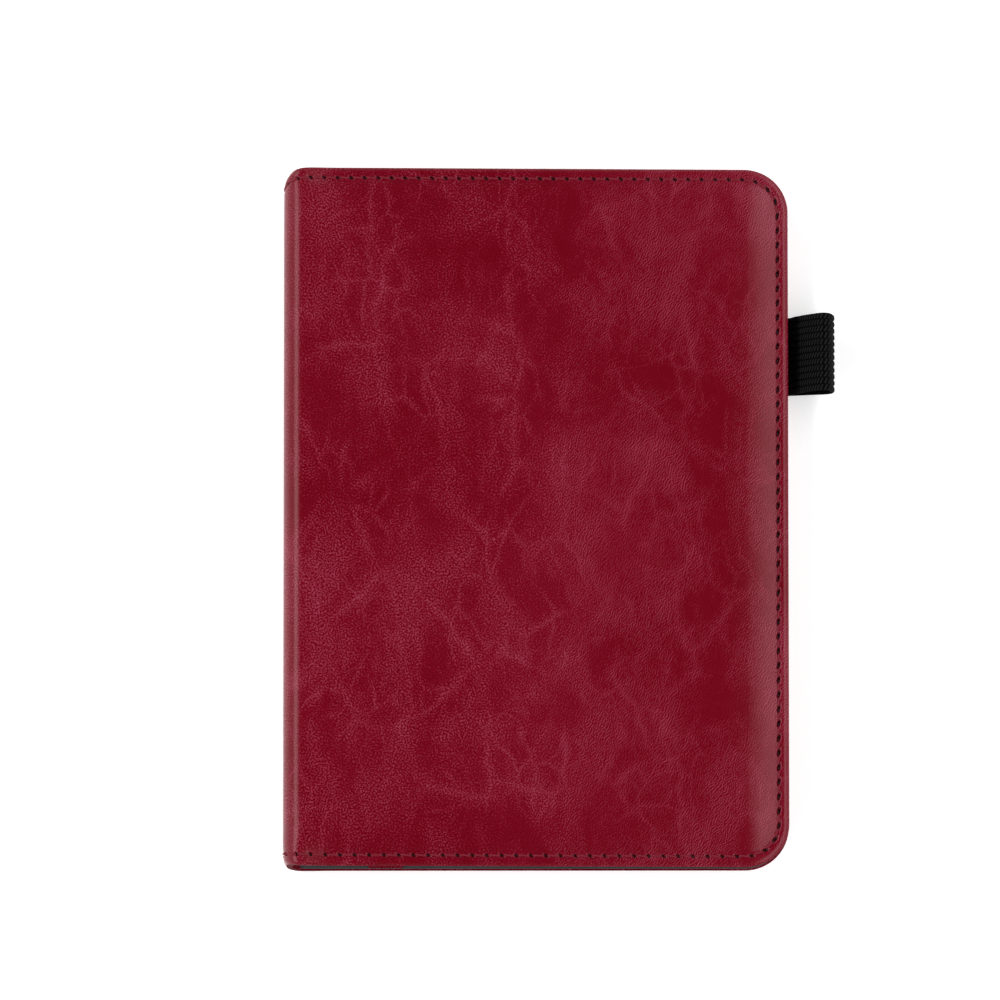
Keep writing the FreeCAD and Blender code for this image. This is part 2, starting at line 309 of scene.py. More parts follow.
def folded_sheet(name, side, outline, fine, coarse, face_depth, back_depth, inward):
    """A closed sheet round the fold: a finely divided face that shows, a plain back, and the wall between."""
    face, face_tris = triangulated(outline, fine)
    back, back_tris = triangulated(outline, coarse)
    count = len(outline)
    here = np.arange(count)
    after = (here + 1) % count
    start = len(face)
    points = np.concatenate([
        wrapped(side, *face.T, face_depth(side, *face.T)),
        wrapped(side, *back.T, back_depth(side, *back.T)),
    ])
    wall = np.stack([here, start + here, start + after, after], axis=1)
    faces = [*face_tris.tolist(), *(back_tris[:, ::-1] + start).tolist(), *wall.tolist()]
    if (side == "back") != inward:
        faces = [f[::-1] for f in faces]
    obj = smooth_mesh_object(name, points, faces, 40)
    laid = np.concatenate([face, back])
    laid = np.concatenate([laid * [UP[side], 1], np.zeros((len(laid), 1))], axis=1)
    store(obj.data, "laid", "FLOAT_VECTOR", laid)
    dents = np.concatenate([hole_dents(side, *face.T), np.zeros(len(back))])
    store(obj.data, "hole", "FLOAT", dents)
    return obj


def dented_leather(side, s, y):
    return leather_depth(side, s, y) + HOLE_DEPTH * hole_dents(side, s, y)


def bend_with_cover(obj):
    """Bakes the piece's placement into its mesh."""
    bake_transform(obj)


# Rings of points in mm: how far in from the edge each one runs, and the step between its points.
LEATHER_RINGS = [(gap, 0.6) for gap in (0.07, 0.18, 0.32, 0.48, 0.66, 0.86, 1.1, 1.4)] + [
    (3.35, 0.7), (3.8, 0.8), (4.4, 0.9), (5.1, 1), (5.9, 1.1), (6.8, 1.2), (7.8, 1.4), (9, 1.6), (10.4, 1.8),
]
BACK_RINGS = [(3.4, 2), (4.8, 2), (6.4, 2), (9, 3)]
FIELD_STEP = 2.2 * MM
SEAM_OFFSETS = np.arange(-5, 6) * 0.13 * MM
leathers = {}
for side in ("back", "front"):
    rings = [(gap * MM, step * MM) for gap, step in LEATHER_RINGS]
    left_gaps = [gap for gap, _ in rings] + [SEAM_GAP + offset for offset in SEAM_OFFSETS]
    outline = outline_points(side, 0, left_gaps, 0.6 * MM, FIELD_STEP)
    fine = np.concatenate([
        rings_and_grid(side, rings, 0.5 * MM, FIELD_STEP, 11.4 * MM),
        along_seam(side, SEAM_OFFSETS, 14),
    ])
    rings = [(gap * MM, step * MM) for gap, step in BACK_RINGS]
    coarse = rings_and_grid(side, rings, 0.9 * MM, 5 * MM, 11 * MM)
    leathers[side] = folded_sheet(
        f"{side}_cover_leather", side, outline, fine, coarse, dented_leather, leather_back, False
    )
    bend_with_cover(leathers[side])
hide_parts("back_leather", "back_fold_leather")
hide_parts("front_leather", "front_fold_leather", "spine_leather")


def linear(hex_colour):
    """The linear colour of an sRGB hex value."""
    parts = [int(hex_colour[i:i + 2], 16) / 255 for i in (1, 3, 5)]
    return (*(c / 12.92 if c <= 0.04045 else ((c + 0.055) / 1.055) ** 2.4 for c in parts), 1)


def add_node(tree, kind, inputs=(), stops=(), **settings):
    """Adds a node with its settings. Its inputs are a list, or are given by name or number. Each is a value, or
    a socket to link, or a node whose first output is linked."""
    node = tree.nodes.new(kind)
    for key, value in settings.items():
        setattr(node, key, value)
    for key, value in inputs.items() if isinstance(inputs, dict) else enumerate(inputs):
        if isinstance(value, bpy.types.Node):
            value = value.outputs[0]
        if isinstance(value, bpy.types.NodeSocket):
            tree.links.new(value, node.inputs[key])
        else:
            node.inputs[key].default_value = value
    for number, (place, colour) in enumerate(stops):
        if number >= len(node.color_ramp.elements):
            node.color_ramp.elements.new(place)
        node.color_ramp.elements[number].position = place
        node.color_ramp.elements[number].color = linear(colour)
    return node


def new_material(name):
    """An empty material and the function that adds nodes to it."""
    material = bpy.data.materials.new(name)
    material.use_nodes = True
    material.node_tree.nodes.clear()
    return material, partial(add_node, material.node_tree)


def place_in_mm(add, attribute=None):
    """Where a point lies in mm: by a place stored on the piece, or else by its place in the frame."""
    if attribute:
        place = add("ShaderNodeAttribute", attribute_name=attribute).outputs["Vector"]
    else:
        place = add("ShaderNodeTexCoord").outputs["Object"]
    return add("ShaderNodeVectorMath", {0: place, "Scale": 1 / MM}, operation="SCALE")


def finished(material, inputs):
    """The material, with a surface that has these inputs."""
    add = partial(add_node, material.node_tree)
    add("ShaderNodeOutputMaterial", [add("ShaderNodeBsdfPrincipled", inputs)])
    return material


def pull_up_leather():
    """Waxed pull-up leather: deep smooth blotches where the wax lies thick, paler creases branching between
    them where it was pulled thin, and a fine worm-like grain that stands out on the paler parts. The paleness
    of the creases and of the grain's crests is partly the wax's own lighter colour and partly painted highlight."""
    material, add = new_material("waxed_pull_up_leather")
    place = place_in_mm(add, "laid")

    bent = place
    for scale, push in ((0.05, 9.0), (0.26, 3.0)):
        drift = add("ShaderNodeTexNoise", {"Vector": place, "Scale": scale, "Detail": 1.0})
        shift = add("ShaderNodeVectorMath", [drift.outputs["Color"], (push, push, 0)], operation="MULTIPLY")
        bent = add("ShaderNodeVectorMath", [bent, shift], operation="ADD")
    tall = add("ShaderNodeVectorMath", [bent, (1, 0.6, 1)], operation="MULTIPLY")
    lank = add("ShaderNodeVectorMath", [bent, (1, 0.35, 1)], operation="MULTIPLY")
    split = add("ShaderNodeSeparateXYZ", [bent])
    rightward = add("ShaderNodeMapRange", {"Value": split.outputs["X"], "From Min": 55.0, "From Max": 95.0})

    def patches(vector, scale, low, high, detail, to_low=0.0, to_high=1.0):
        """A noise pattern of one size, cut to run between two levels."""
        noise = add("ShaderNodeTexNoise", {"Vector": vector, "Scale": scale, "Detail": detail, "Roughness": 0.52})
        return add("ShaderNodeMapRange", [noise, low, high, to_low, to_high])

    broad = patches(place, 0.021, 0.38, 0.62, 1.0, -0.075, 0.075)
    blotch = patches(tall, 0.07, 0.43, 0.62, 3.0)
    present = patches(place, 0.06, 0.4, 0.58, 2.0, 0.15, 1.0)
    streak = patches(lank, 0.3, 0.54, 0.76, 1.5)
    creases = glow = 0.0
    for cell, width, strength, halo in ((15.0, 0.05, 0.85, 0.9), (6.2, 0.08, 0.7, 0.7), (2.8, 0.12, 0.4, 0.0)):
        edge = add("ShaderNodeTexVoronoi", {"Vector": tall, "Scale": 1 / cell},
                   feature="DISTANCE_TO_EDGE", voronoi_dimensions="2D").outputs["Distance"]
        line = add("ShaderNodeMapRange", {"Value": edge, "From Max": width, "To Min": strength, "To Max": 0.0})
        creases = add("ShaderNodeMath", [line, creases], operation="MAXIMUM")
        soft = add("ShaderNodeMapRange", {"Value": edge, "From Max": 0.22, "To Min": halo, "To Max": 0.0})
        glow = add("ShaderNodeMath", [soft, glow], operation="MAXIMUM")
    fewer = add("ShaderNodeMath", [rightward, -0.2, 1.0], operation="MULTIPLY_ADD")
    present = add("ShaderNodeMath", [present, fewer], operation="MULTIPLY")
    crease = add("ShaderNodeMath", [creases, present], operation="MULTIPLY")
    glow = add("ShaderNodeMath", [glow, present], operation="MULTIPLY")
    thin_wax = add("ShaderNodeMath", [blotch, glow], operation="MAXIMUM")

    ripple = add("ShaderNodeTexNoise", {"Vector": place, "Scale": 0.45, "Detail": 1.0})
    wriggle = add("ShaderNodeVectorMath", [ripple.outputs["Color"], (1.0, 1.0, 0)], operation="MULTIPLY")
    grain_place = add("ShaderNodeVectorMath", [place, wriggle], operation="ADD")
    even = add("ShaderNodeTexGabor", {"Vector": grain_place, "Scale": 1.2, "Frequency": 1.3,
                                      "Anisotropy": 0.0}).outputs["Value"]
    slanted = add("ShaderNodeTexGabor", {"Vector": place, "Scale": 1.3, "Frequency": 1.5,
                                         "Anisotropy": 0.65, "Orientation": math.radians(-35)}
                 ).outputs["Value"]
    slanted = add("ShaderNodeMapRange", {"Value": slanted, "From Min": 0.15, "From Max": 0.85}, clamp=False)
    grain = add("ShaderNodeMix", {"Factor": rightward, 2: even, 3: slanted})
    ridge = add("ShaderNodeMapRange", {"Value": grain, "From Min": 0.36, "From Max": 0.66,
                                       "To Min": -0.5, "To Max": 0.5})
    worn = add("ShaderNodeMath", [crease, thin_wax], operation="MAXIMUM")
    worn = add("ShaderNodeMapRange", {"Value": worn, "To Min": 0.55})
    ridge = add("ShaderNodeMath", [ridge, worn], operation="MULTIPLY")

    tone = add("ShaderNodeMapRange", {"Value": thin_wax, "To Min": 0.32, "To Max": 0.47})
    tone = add("ShaderNodeMath", [tone, broad], operation="ADD")
    # Creases and grain crests raise the tone: partly the paler colour of thinly waxed leather, partly painted
    # highlight on them.
    for part, share in ((streak, 0.12), (crease, 0.2), (ridge, 0.66)):
        tone = add("ShaderNodeMath", [part, share, tone], operation="MULTIPLY_ADD")
    colour = add("ShaderNodeValToRGB", [tone], [(0.0, "#610009"), (0.45, "#78031d"), (1.0, "#9c3c4f")])
    # Over the needle holes the colour goes to near black #150205: painted shade inside the holes, on top of their
    # real dents.
    hole = add("ShaderNodeAttribute", attribute_name="hole").outputs["Fac"]
    shade = add("ShaderNodeMapRange", {"Value": hole, "From Min": 0.25, "From Max": 0.75})
    colour = add("ShaderNodeMix", {"Factor": shade, "A": colour, "B": linear("#150205")}, data_type="RGBA")
    relief = add("ShaderNodeMath", [crease, -0.5, ridge], operation="MULTIPLY_ADD")
    bump = add("ShaderNodeBump", {"Height": relief, "Strength": 0.26, "Distance": 0.03 * MM})
    rough = add("ShaderNodeMapRange", {"Value": tone, "To Min": 0.235, "To Max": 0.31})
    return finished(material, {
        "Base Color": colour.outputs["Result"], "Roughness": rough, "IOR": 1.44, "Specular Tint": linear("#ffdce0"),
        "Normal": bump,
    })


def painted_edge():
    """The leather's cut edge, sealed with matt edge paint: dull brown red, a little uneven where it soaked in."""
    material, add = new_material("matt_edge_paint")
    laid = add("ShaderNodeAttribute", attribute_name="laid").outputs["Vector"]
    soaked = add("ShaderNodeTexNoise", {"Vector": laid, "Scale": 900.0, "Detail": 3.0}).outputs["Fac"]
    colour = add("ShaderNodeValToRGB", [soaked], [(0.3, "#4e1a1d"), (0.7, "#6a2b2c")])
    bump = add("ShaderNodeBump", {"Height": soaked, "Strength": 0.4, "Distance": 0.05 * MM})
    return finished(material, {
        "Base Color": colour, "Roughness": 0.8, "IOR": 1.45, "Specular IOR Level": 0.1, "Normal": bump,
    })


leather_finish = pull_up_leather()
edge_paint = painted_edge()
for piece in leathers.values():
    piece.data.materials.append(leather_finish)
    piece.data.materials.append(edge_paint)
    for face in [face for face in piece.data.polygons if len(face.vertices) == 4]:
        face.material_index = 1


# ---- Stitches ----
# Bonded polyester thread, dyed to match the leather. Each stitch is a short arch between two holes, a little
# askew to the seam; the bobbin thread makes the same row on the lining.
THREAD_D = 0.5 * MM
THREAD_RISE = 0.13 * MM  # how far the thread stands over the bottom of its groove
THREAD_TWIST = 0.42 * MM


def laid_threads_tree():
    """Short arched lengths of thread laid on points that carry the directions along and out, and a length."""
    tree = bpy.data.node_groups.new("laid_threads", "GeometryNodeTree")
    panel = tree.interface
    panel.new_socket("Geometry", in_out="INPUT", socket_type="NodeSocketGeometry")
    for label in ("Thickness", "Length", "Dip", "Arch", "Lean", "Stray"):
        panel.new_socket(label, in_out="INPUT", socket_type="NodeSocketFloat")
    panel.new_socket("Sides", in_out="INPUT", socket_type="NodeSocketInt")
    panel.new_socket("Finish", in_out="INPUT", socket_type="NodeSocketMaterial")
    panel.new_socket("Geometry", in_out="OUTPUT", socket_type="NodeSocketGeometry")
    add = partial(add_node, tree)
    given = add("NodeGroupInput").outputs
    half = add("ShaderNodeMath", [given["Length"], 0.5], operation="MULTIPLY")
    other = add("ShaderNodeMath", [given["Length"], -0.5], operation="MULTIPLY")
    below = add("ShaderNodeMath", [given["Dip"], -1.0], operation="MULTIPLY")
    corners = [
        add("ShaderNodeCombineXYZ", {"X": x, "Z": z})
        for x, z in ((other, below), (other, given["Arch"]), (half, given["Arch"]), (half, below))
    ]
    arch = add("GeometryNodeCurvePrimitiveBezierSegment", {
        "Start": corners[0], "Start Handle": corners[1], "End Handle": corners[2], "End": corners[3],
        "Resolution": 7,
    })
    girth = add("ShaderNodeMath", [given["Thickness"], 0.5], operation="MULTIPLY")
    ring = add("GeometryNodeCurvePrimitiveCircle", {"Resolution": given["Sides"], "Radius": girth})
    strand = add("GeometryNodeCurveToMesh", {"Curve": arch, "Profile Curve": ring, "Fill Caps": True})
    spot = add("GeometryNodeInputPosition")
    strand = add("GeometryNodeStoreNamedAttribute", {
        "Geometry": strand, "Name": "strand", "Value": spot,
    }, data_type="FLOAT_VECTOR", domain="POINT")
    named = {
        key: add("GeometryNodeInputNamedAttribute", {"Name": key}, data_type=kind).outputs["Attribute"]
        for key, kind in (("along", "FLOAT_VECTOR"), ("out", "FLOAT_VECTOR"), ("reach", "FLOAT"))
    }
    facing = add("FunctionNodeAxesToRotation", {
        "Primary Axis": named["out"], "Secondary Axis": named["along"],
    }, primary_axis="Z", secondary_axis="X")
    least = add("ShaderNodeMath", [given["Lean"], given["Stray"]], operation="SUBTRACT")
    most = add("ShaderNodeMath", [given["Lean"], given["Stray"]], operation="ADD")
    lean = add("FunctionNodeRandomValue", {2: least, 3: most, "Seed": 3}, data_type="FLOAT").outputs[1]
    askew = add("FunctionNodeAxisAngleToRotation", {"Axis": (0, 0, 1), "Angle": lean})
    turned = add("FunctionNodeRotateRotation", {"Rotation": facing, "Rotate By": askew}, rotation_space="LOCAL")
    stretch = add("ShaderNodeMath", [named["reach"], given["Length"]], operation="DIVIDE")
    scale = add("ShaderNodeCombineXYZ", {"X": stretch, "Y": 1.0, "Z": 1.0})
    spread = add("GeometryNodeInstanceOnPoints", {
        "Points": given["Geometry"], "Instance": strand, "Rotation": turned,
        "Scale": scale,
    })
    real = add("GeometryNodeRealizeInstances", [spread])
    smooth = add("GeometryNodeSetShadeSmooth", [real])
    finished = add("GeometryNodeSetMaterial", {"Geometry": smooth, "Material": given["Finish"]})
    add("NodeGroupOutput", [finished])
    return tree


laid_threads = laid_threads_tree()


def laid_on(name, points, along, out, reach, sizes):
    """Runs the thread tree on a set of points and returns its result as one plain mesh."""
    mesh = bpy.data.meshes.new(name + "_points")
    mesh.from_pydata(points.tolist(), [], [])
    store(mesh, "along", "FLOAT_VECTOR", along)
    store(mesh, "out", "FLOAT_VECTOR", out)
    store(mesh, "reach", "FLOAT", reach)
    maker = new_object(name + "_maker", mesh)
    modifier = maker.modifiers.new("threads", "NODES")
    modifier.node_group = laid_threads
    sockets = {item.name: item.identifier for item in laid_threads.interface.items_tree if item.in_out == "INPUT"}
    for label, value in sizes.items():
        modifier[sockets[label]] = value
    result = maker.evaluated_get(bpy.context.evaluated_depsgraph_get())
    plain = bpy.data.meshes.new_from_object(result)
    bpy.data.objects.remove(maker)
    return new_object(name, plain)


def unit(vectors):
    return vectors / np.linalg.norm(vectors, axis=-1, keepdims=True)


def sewing_thread_finish(name, shade, lit):
    """Bonded polyester thread: a soft satin line, darker in the twist between its three plies, which is painted
    shade, and lighter on the plies' crowns, which is painted highlight.
    """
    material, add = new_material(name)
    strand = add("ShaderNodeAttribute", attribute_name="strand").outputs["Vector"]
    split = add("ShaderNodeSeparateXYZ", [strand])
    twist = add("ShaderNodeMath", [split.outputs["Y"], 1.4, split.outputs["X"]], operation="MULTIPLY_ADD")
    wave = add("ShaderNodeMath", [twist, 2 * math.pi / THREAD_TWIST], operation="MULTIPLY")
    wave = add("ShaderNodeMath", [wave], operation="SINE")
    ply = add("ShaderNodeMapRange", {"Value": wave, "From Min": -1.0})
    colour = add("ShaderNodeValToRGB", [ply], [(0.0, shade), (1.0, lit)])
    bump = add("ShaderNodeBump", {"Height": ply, "Strength": 0.5, "Distance": 0.05 * MM})
    return finished(material, {
        "Base Color": colour, "Roughness": 0.6, "IOR": 1.55, "Specular IOR Level": 0.25, "Normal": bump,
    })


red_thread = sewing_thread_finish("bonded_polyester_thread", "#6e0619", "#8e1c33")


def seam_row(name, side, depth_at, outward, dip):
    """One row of stitches round a cover, on its leather or on its lining."""
    places, _, slot = seam_holes(side)
    middle = (places[1:] + places[:-1]) / 2
    depth = depth_at(side, *middle.T)
    points = wrapped(side, *middle.T, depth)
    ends = wrapped(side, *places.T, depth_at(side, *places.T))
    above = wrapped(side, *middle.T, depth - 0.1 * MM)
    reach = np.linalg.norm(ends[1:] - ends[:-1], axis=1) - 1.75 * HOLE_L * (slot[1:] + slot[:-1]) / 2
    return laid_on(name, points, unit(ends[1:] - ends[:-1]), unit(above - points) * outward, reach, {
        "Thickness": THREAD_D, "Length": STITCH_L, "Dip": dip, "Arch": 0.1 * MM,
        "Lean": math.radians(-7), "Stray": math.radians(3), "Sides": 7, "Finish": red_thread,
    })


def on_groove(side, s, y):
    return leather_depth(side, s, y) - THREAD_RISE


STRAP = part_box("retaining_strap")
STRAP_T = 0.6 * MM
WALL_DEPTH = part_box("back_lining")[1].z
FOLD_SINK = 1.1 * MM     # no board stands in the fold, so the lining lies down on the leather there


def fold_sink(side, s):
    """How much nearer to the leather the lining lies, which is most in the middle of the fold."""
    way = (s - SPINE_HALF) / (fold_end(side) - SPINE_HALF)
    return FOLD_SINK * ramp_between(0, 0.4, way) * (1 - ramp_between(0.6, 1, way))


def on_lining(side, s, y):
    """Depth of the bobbin thread: on the lining, or on the strap where its ends are caught in the seam."""
    x = s - fold_end(side) + FOLD_X
    under_strap = (x > STRAP[0].x) & (x < STRAP[1].x) if side == "back" else np.zeros(len(s), bool)
    return WALL_DEPTH + 0.02 * MM + np.where(under_strap, STRAP_T, 0) - fold_sink(side, s)


for side in ("back", "front"):
    upper = seam_row(f"{side}_seam_stitches", side, on_groove, 1, 0.5 * MM)
    lower = seam_row(f"{side}_bobbin_stitches", side, on_lining, -1, 0.15 * MM)
    for row, r in ((upper, FOLD_R), (lower, FOLD_R - WALL_DEPTH)):
        bend_with_cover(row)
    if side == "back":
        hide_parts("back_seam_thread", "back_fold_thread")
    else:
        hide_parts("front_seam_thread", "front_fold_thread", "spine_seam_thread")


# ---- Lining ----
# Dark grey brushed microfibre on both boards and over the inside of the spine, cut a little smaller than the
# leather so that it never shows past the edge.
LINING_GAP = 0.45 * MM


def lining_face(side, s, y):
    gap = inset(side, s, y)
    sewn = 0.12 * MM * np.exp(-((gap - SEAM_GAP) / (0.5 * MM)) ** 2)
    rolled = 0.2 * MM * (1 - ramp_between(LINING_GAP, LINING_GAP + 0.45 * MM, gap))
    return WALL_DEPTH - sewn - rolled - fold_sink(side, s)


def lining_back(side, s, y):
    return LINING_DEPTH - fold_sink(side, s)


LINING_RINGS = [(gap, 0.9) for gap in (0.57, 0.73, 1.0, 1.4, 1.7, 2.1, 2.4, 2.7)] + [(3.1, 1), (4.5, 1.4)]
linings = {}
for side in ("back", "front"):
    rings = [(gap * MM, step * MM) for gap, step in LINING_RINGS]
    outline = outline_points(side, LINING_GAP, [gap for gap, _ in rings], 0.9 * MM, 3 * MM)
    fine = rings_and_grid(side, rings, 0.5 * MM, 3 * MM, 6 * MM)
    coarse = rings_and_grid(side, [], 0.9 * MM, 6 * MM, 4 * MM)
    linings[side] = folded_sheet(
        f"{side}_cover_lining", side, outline, fine, coarse, lining_face, lining_back, True
    )
    bend_with_cover(linings[side])
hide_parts("back_lining", "back_fold_lining")
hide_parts("front_lining", "front_fold_lining", "spine_lining")


def brushed_microfibre():
    """Brushed microfibre: a matt nap with soft lighter strokes where it was last brushed, and a faint sheen."""
    material, add = new_material("brushed_microfibre")
    place = place_in_mm(add, "laid")
    strokes = add("ShaderNodeTexNoise",
                  {"Vector": place, "Scale": 0.07, "Detail": 5.0, "Roughness": 0.6}).outputs["Fac"]
    nap = add("ShaderNodeTexNoise", {"Vector": place, "Scale": 4.0, "Detail": 3.0, "Roughness": 0.7}).outputs["Fac"]
    tone = add("ShaderNodeMath", [strokes, 0.5, nap], operation="MULTIPLY_ADD")
    colour = add("ShaderNodeValToRGB", [tone], [(0.45, "#2f2f31"), (1.0, "#47474a")])
    bump = add("ShaderNodeBump", {"Height": nap, "Strength": 0.6, "Distance": 0.08 * MM})
    return finished(material, {
        "Base Color": colour, "Roughness": 0.92, "IOR": 1.45, "Sheen Weight": 0.25, "Sheen Roughness": 0.5,
        "Normal": bump,
    })


lining_finish = brushed_microfibre()
for piece in linings.values():
    piece.data.materials.append(lining_finish)


# ---- Boards, padding and spine stiffener ----
# Grey board gives each cover its stiffness, a thin foam softens it, and a strip of board stands in the spine.
# They are glued between the leather and the lining, and only a cut edge would show.
def fibrous(name, dark, light, speck_mm, rough):
    """Pressed fibre or foam: a matt surface with fine flecks."""
    material, add = new_material(name)
    place = place_in_mm(add)
    flecks = add("ShaderNodeTexNoise",
                 {"Vector": place, "Scale": 1 / speck_mm, "Detail": 4.0, "Roughness": 0.65}).outputs["Fac"]
    colour = add("ShaderNodeValToRGB", [flecks], [(0.3, dark), (0.7, light)])
    bump = add("ShaderNodeBump", {"Height": flecks, "Strength": 0.4, "Distance": 0.03 * MM})
    return finished(material, {"Base Color": colour, "Roughness": rough, "IOR": 1.5, "Normal": bump})


grey_board = fibrous("pressed_grey_board", "#77746d", "#938f86", 0.7, 0.9)
thin_foam = fibrous("thin_polyurethane_foam", "#c9c6bb", "#e2dfd4", 0.4, 0.95)


def cover_cad_piece(node, finish):
    """Gives its material to a piece of the frame that is drawn as it is."""
    slots = frame["nodes"][node].data.materials
    slots.clear()
    slots.append(finish)


for node, finish in (("back_board", grey_board), ("front_board", grey_board), ("spine_stiffener", grey_board),
                     ("back_padding", thin_foam), ("front_padding", thin_foam)):
    cover_cad_piece(node, finish)


# ---- Retaining strap ----
# A flat strap of the cover's own leather with rounded edges, caught in the seam at the head and the tail. The
# refill's back card slides under it.
STRAP_MID_X = (STRAP[0].x + STRAP[1].x) / 2
STRAP_CREST_Z = STRAP[1].z - STRAP_T
STRAP_BEND_Y = (74.4 * MM, 76.9 * MM)  # past the refill it comes down to the lining, between these places
strap_end = np.linspace(STRAP[0].y, -73.6 * MM, 16)
strap_y = np.concatenate([strap_end, np.linspace(-70 * MM, 70 * MM, 41), np.linspace(73.6 * MM, STRAP[1].y, 16)])
rise = 1 - ramp_between(*STRAP_BEND_Y, np.abs(strap_y))
strap_low = WALL_DEPTH + (STRAP_CREST_Z - WALL_DEPTH) * rise
half_w = (STRAP[1].x - STRAP[0].x) / 2
STRAP_EDGE_R = 0.22 * MM
section = []
for cx, cz, first in ((half_w - STRAP_EDGE_R, STRAP_EDGE_R, -90),
                      (half_w - STRAP_EDGE_R, STRAP_T - STRAP_EDGE_R, 0),
                      (STRAP_EDGE_R - half_w, STRAP_T - STRAP_EDGE_R, 90),
                      (STRAP_EDGE_R - half_w, STRAP_EDGE_R, 180)):
    for degrees in (first, first + 30, first + 60, first + 90):
        turn = math.radians(degrees)
        section.append((cx + STRAP_EDGE_R * math.cos(turn), cz + STRAP_EDGE_R * math.sin(turn)))
section = np.array(section)
n = len(section)
points = np.concatenate([
    np.stack([STRAP_MID_X + section[:, 0], np.full(n, y), z + section[:, 1]], axis=1)
    for y, z in zip(strap_y, strap_low)
])
faces = [
    ((i + 1) * n + k, (i + 1) * n + (k + 1) % n, i * n + (k + 1) % n, i * n + k)
    for i in range(len(strap_y) - 1) for k in range(n)
]
faces += [tuple(range(n)), tuple(range(len(points) - n, len(points)))[::-1]]
strap = smooth_mesh_object("refill_strap", points, faces, 50)
store(strap.data, "laid", "FLOAT_VECTOR", points * [1, 1, 0] + [0.3, 0, 0])
strap.data.materials.append(leather_finish)
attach(strap, "back_cover")
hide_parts("retaining_strap")


# ---- Pen loop ----
# Black woven elastic, folded double and sewn in between the back cover's leather and its lining. The free part
# stands open and leans up a little, and its knitted ribs run the way the loop goes.
LOOP_MID_Y = (LOOP_END[0].y + LOOP_END[1].y) / 2
LOOP_HALF_W = (LOOP_END[1].y - LOOP_END[0].y) / 2
TILT = math.radians(14)
TURN_AT = (FORE_X + 0.15 * MM, 1.5 * MM)
# The middle of the webbing in mm (x, z), before it is tilted: out from the seam, round, and back in over itself.
LOOP_LINE = [
    (51.4, 1.2), (54.5, 1.2), (57.3, 1.2), (58.8, 1.36), (61, 1.42), (64, 1.42), (66.2, 1.46), (67.65, 2.04),
    (68.45, 3.5), (68.55, 5), (68.6, 6.4), (68.2, 7.6), (67, 8.0), (64.6, 6.9), (62.2, 5.35), (60.4, 4.0),
    (59.3, 3.05), (58.7, 2.4), (58.1, 1.98), (57.3, 1.8), (54.5, 1.8), (51.4, 1.8),
]
RIBS = 12
RIB_H = 0.13 * MM
SEWN_HALF_T, LOOSE_HALF_T = 0.28, 0.12  # mm: half its thickness where it is sewn, and what it gains outside
KNIT_L = 1.2 * MM
KNIT_PITCH = 0.78 * MM
KNIT_START = 6.4 * MM    # the part that is sewn in has no loops drawn


def through(points, per_span):
    """A smooth line through points, a few to each span."""
    points = np.asarray(points, float)
    padded = np.concatenate([points[:1] * 2 - points[1:2], points, points[-1:] * 2 - points[-2:-1]])
    t = np.linspace(0, 1, per_span, endpoint=False)[:, None]
    spans = []
    for a, b, c, d in zip(padded, padded[1:], padded[2:], padded[3:]):
        spans.append(0.5 * (2 * b + (c - a) * t + (2 * a - 5 * b + 4 * c - d) * t ** 2
                            + (3 * b - a - 3 * c + d) * t ** 3))
    return np.concatenate([*spans, points[-1:]])


line = through(LOOP_LINE, 9) * MM
tip = ramp_between(FORE_X - 0.2 * MM, FORE_X + 0.9 * MM, line[:, 0]) * TILT
away = line - TURN_AT
line = np.stack([
    TURN_AT[0] + away[:, 0] * np.cos(tip) - away[:, 1] * np.sin(tip),
    TURN_AT[1] + away[:, 0] * np.sin(tip) + away[:, 1] * np.cos(tip),
], axis=1)
heading = unit(np.gradient(line, axis=0))
outside = np.stack([heading[:, 1], -heading[:, 0]], axis=1)
gone = np.concatenate([[0], np.cumsum(np.linalg.norm(np.diff(line, axis=0), axis=1))])
free = ramp_between(FORE_X - 0.5 * MM, FORE_X + 1.5 * MM, line[:, 0])
half_t = (SEWN_HALF_T + LOOSE_HALF_T * free) * MM
across = np.linspace(-1, 1, RIBS * 8 + 1)
rib = np.abs(np.sin(across * math.pi * RIBS / 2)) ** 0.6
edge_fall = np.sqrt(np.clip(1 - (np.maximum(np.abs(across) - 0.98, 0) / 0.02) ** 2, 0.02, 1))
half_at = (half_t[:, None] - RIB_H + RIB_H * rib[None, :] * free[:, None]) * edge_fall[None, :]
rows, cols = len(line), len(across)
points = np.zeros((2, rows, cols, 3))
for face, way in zip(points, (1, -1)):
    face[..., 0] = line[:, 0, None] + way * outside[:, 0, None] * half_at
    face[..., 1] = LOOP_MID_Y + across * LOOP_HALF_W * 0.995
    face[..., 2] = line[:, 1, None] + way * outside[:, 1, None] * half_at
grid = np.arange(rows * cols).reshape(rows, cols)
quads = np.stack([grid[:-1, :-1], grid[:-1, 1:], grid[1:, 1:], grid[1:, :-1]], axis=-1).reshape(-1, 4)
rim = np.concatenate([grid[0, :], grid[1:, -1], grid[-1, -2::-1], grid[-2:0:-1, 0]])
rim_next = np.roll(rim, -1)
wall = np.stack([rim, rim_next, rim_next + rows * cols, rim + rows * cols], axis=1)
faces = np.concatenate([quads, quads[:, ::-1] + rows * cols, wall[:, ::-1]])
band = smooth_mesh_object("pen_loop_webbing", points.reshape(-1, 3), faces, 60)
woven = np.zeros((2, rows, cols, 3))
woven[..., 0] = gone[None, :, None]
woven[..., 1] = across[None, None, :] * LOOP_HALF_W
store(band.data, "strand", "FLOAT_VECTOR", woven)


